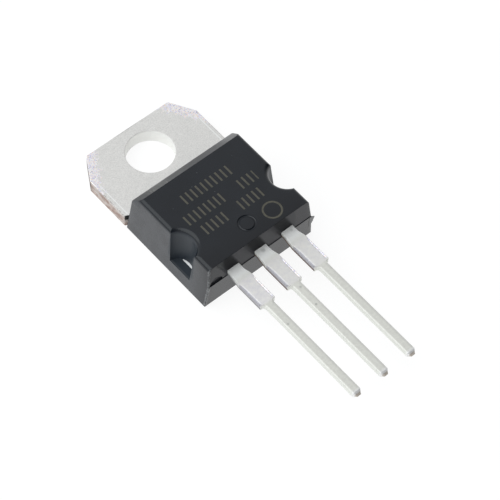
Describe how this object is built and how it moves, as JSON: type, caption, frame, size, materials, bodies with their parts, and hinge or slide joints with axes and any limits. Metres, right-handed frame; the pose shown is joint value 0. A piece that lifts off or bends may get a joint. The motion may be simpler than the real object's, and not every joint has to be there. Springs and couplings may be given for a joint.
{
  "type": "voltage regulator",
  "caption": "Flat moulded power package with a drilled metal tab at one end and straight leads at the other, holding a linear voltage regulator.",
  "frame": {"origin": "centre of the mounting hole on the back face of the tab", "axes": "+Z along the hole out of the front of the package, +Y from the leads toward the free end of the tab, +X across the package toward the input lead"},
  "size_m": [0.0102, 0.0289, 0.0045],
  "materials": {
    "tinned_copper": "satin tin plate over copper",
    "moulding_resin": "fine satin, as moulded",
    "solder": "dull",
    "silicon": "polished",
    "bond_wire": "bright"
  },
  "bodies": {
    "root": {"heat_sink": "tinned_copper", "adjust_lead": "tinned_copper", "input_lead": "tinned_copper", "molded_body": "moulding_resin", "die_solder": "solder", "silicon_die": "silicon", "adjust_wire": "bond_wire", "input_wire": "bond_wire", "output_wire": "bond_wire"}
  },
  "joints": []
}
